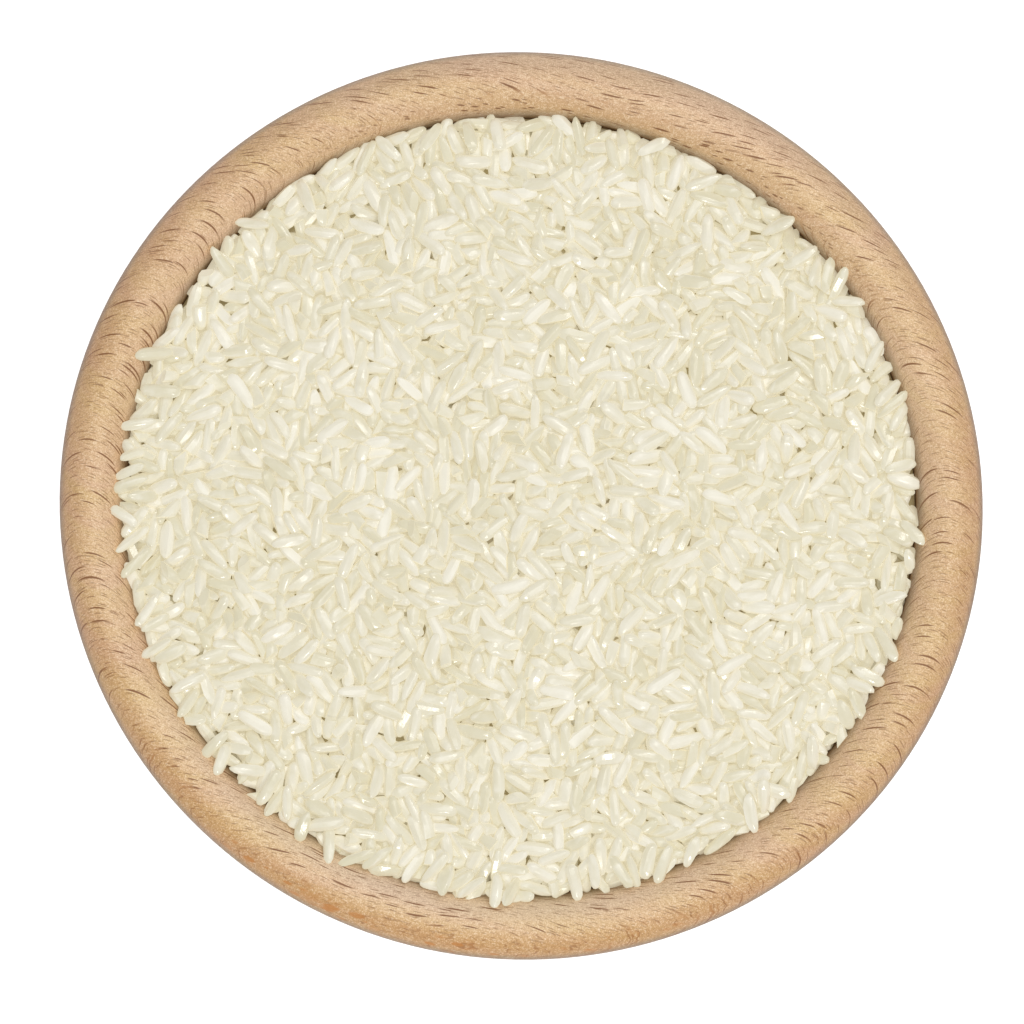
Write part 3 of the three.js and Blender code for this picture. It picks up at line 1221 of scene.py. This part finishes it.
    def finishes(self) -> dict[GrainKind, RiceFinish]:
        """Gives the finish of each kind of grain.

        Returns:
            The finishes.
        """
        return {
            GrainKind.CLEAR: RiceFinish(
                "rice_clear", dull=colour(177, 173, 150), bright=colour(195, 193, 182), roughness=0.15),
            GrainKind.MILKY: RiceFinish(
                "rice_milky", dull=colour(185, 182, 166), bright=colour(198, 196, 187), roughness=0.26),
            GrainKind.CHALKY: RiceFinish(
                "rice_chalky", dull=colour(193, 191, 181), bright=colour(203, 202, 195), roughness=0.34),
            GrainKind.BROKEN: RiceFinish(
                "rice_broken", dull=colour(177, 173, 150), bright=colour(196, 194, 182)),
            # Painted shade: the grains that others cover whole get a darker, more olive copy of the rice's
            # colour and less glow, as rice in the shade of the gaps.
            GrainKind.BEDDED: RiceFinish(
                "rice_bedded", dull=colour(162, 154, 126), bright=colour(176, 170, 146),
                glow_above=0.13, glow_beside=0.16),
        }

    def build(self) -> list[bpy.types.Object]:
        """Makes the core and the grains, and dresses them.

        Returns:
            The pieces.
        """
        pieces = [self.core()]
        grains = self.pour()
        finishes = self.finishes()
        for kind, forms in self.forms().items():
            chosen = [grain for grain in grains if grain.kind is kind]
            mesh = self.joined(kind.value, chosen, forms)
            pieces.append(finished_piece(kind.value, mesh, finishes[kind].build()))
            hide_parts("rice")
        return pieces


@dataclass(frozen=True)
class Softbox:
    """A square soft light that faces the bowl."""

    name: str
    place: tuple[float, float, float]
    width: float
    power: float  # in watts
    tint: Colour

    def hang(self) -> None:
        """Hangs the light in the scene."""
        light = bpy.data.lights.new(self.name, "AREA")
        light.shape = "SQUARE"
        light.size = self.width
        light.energy = self.power
        light.color = self.tint
        lamp = bpy.data.objects.new(self.name, light)
        lamp.location = self.place
        lamp.rotation_euler = Vector(self.place).to_track_quat("Z", "Y").to_euler()
        bpy.context.scene.collection.objects.link(lamp)


@dataclass
class Studio:
    """A pale floor, soft light and a camera straight over the bowl."""

    camera_height: float = 760 * MM
    lens: float = 159.1  # in millimetres
    camera_roll: float = math.radians(14)  # the fibres run down to the right in the picture
    object_right: float = 1.43 * MM  # how far right of the picture's middle the bowl lies
    object_up: float = 0.95 * MM
    floor_radius: float = 5.0
    floor_grey: float = 0.6
    floor_glow: float = 0.72  # keeps the ground as white as the photograph's
    sky: Colour = (0.96, 0.98, 1.0)
    sky_strength: float = 0.55
    softboxes: tuple[Softbox, ...] = (
        Softbox("overhead", (0.1, 0.2, 1.25), 0.8, 4.0, (1.0, 0.99, 0.97)),
        Softbox("key", (0.3, 0.5, 0.82), 0.26, 1.4, (1.0, 0.99, 0.97)),
        Softbox("window", (0.2, -0.62, 0.75), 0.14, 2.0, (1.0, 0.98, 0.95)),
    )

    def floor(self) -> bpy.types.Object:
        """Makes the floor.

        Returns:
            The floor.
        """
        model = bmesh.new()
        bmesh.ops.create_circle(model, cap_ends=True, segments=64, radius=self.floor_radius)
        mesh = bpy.data.meshes.new("floor")
        model.to_mesh(mesh)
        model.free()
        graph = NodeGraph("floor")
        graph.feed(graph.shader.inputs["Base Color"], (self.floor_grey,) * 3)
        graph.feed(graph.shader.inputs["Roughness"], 0.9)
        graph.feed(graph.shader.inputs["Emission Color"], (1.0, 1.0, 1.0))
        graph.feed(graph.shader.inputs["Emission Strength"], self.floor_glow)
        graph.material.cycles.emission_sampling = "NONE"
        mesh.materials.append(graph.material)
        floor = bpy.data.objects.new("floor", mesh)
        bpy.context.scene.collection.objects.link(floor)
        return floor

    def lights(self) -> None:
        """Sets the sky and hangs the soft lights."""
        world = bpy.data.worlds.new("sky")
        bpy.context.scene.world = world
        world.use_nodes = True
        sky = world.node_tree.nodes["Background"]
        sky.inputs["Color"].default_value = (*self.sky, 1.0)
        sky.inputs["Strength"].default_value = self.sky_strength
        for softbox in self.softboxes:
            softbox.hang()

    def camera(self) -> None:
        """Sets the camera straight over the bowl, as the photograph has it."""
        right = Vector((math.cos(self.camera_roll), math.sin(self.camera_roll), 0.0))
        up = Vector((-math.sin(self.camera_roll), math.cos(self.camera_roll), 0.0))
        data = bpy.data.cameras.new("camera")
        data.lens = self.lens
        data.clip_start = 0.01
        data.clip_end = 50.0
        camera = bpy.data.objects.new("camera", data)
        overhead = Vector((0, 0, self.camera_height))
        camera.location = overhead - right * self.object_right - up * self.object_up
        camera.rotation_euler = (0.0, 0.0, self.camera_roll)
        bpy.context.scene.collection.objects.link(camera)
        bpy.context.scene.camera = camera

    def build(self) -> None:
        """Sets up the whole studio."""
        self.camera()
        self.lights()
        self.floor()
        bpy.context.scene.view_settings.view_transform = "Standard"
        log.info("studio: camera, sky, %d soft lights and floor", len(self.softboxes))


def main() -> None:
    """Builds the studio, the bowl and the rice."""
    logging.basicConfig(level=logging.INFO, format="%(message)s")
    Studio().build()
    bowl = Bowl()
    bowl.build()
    RiceHeap(bowl).build()


if __name__ == "__main__":
    main()
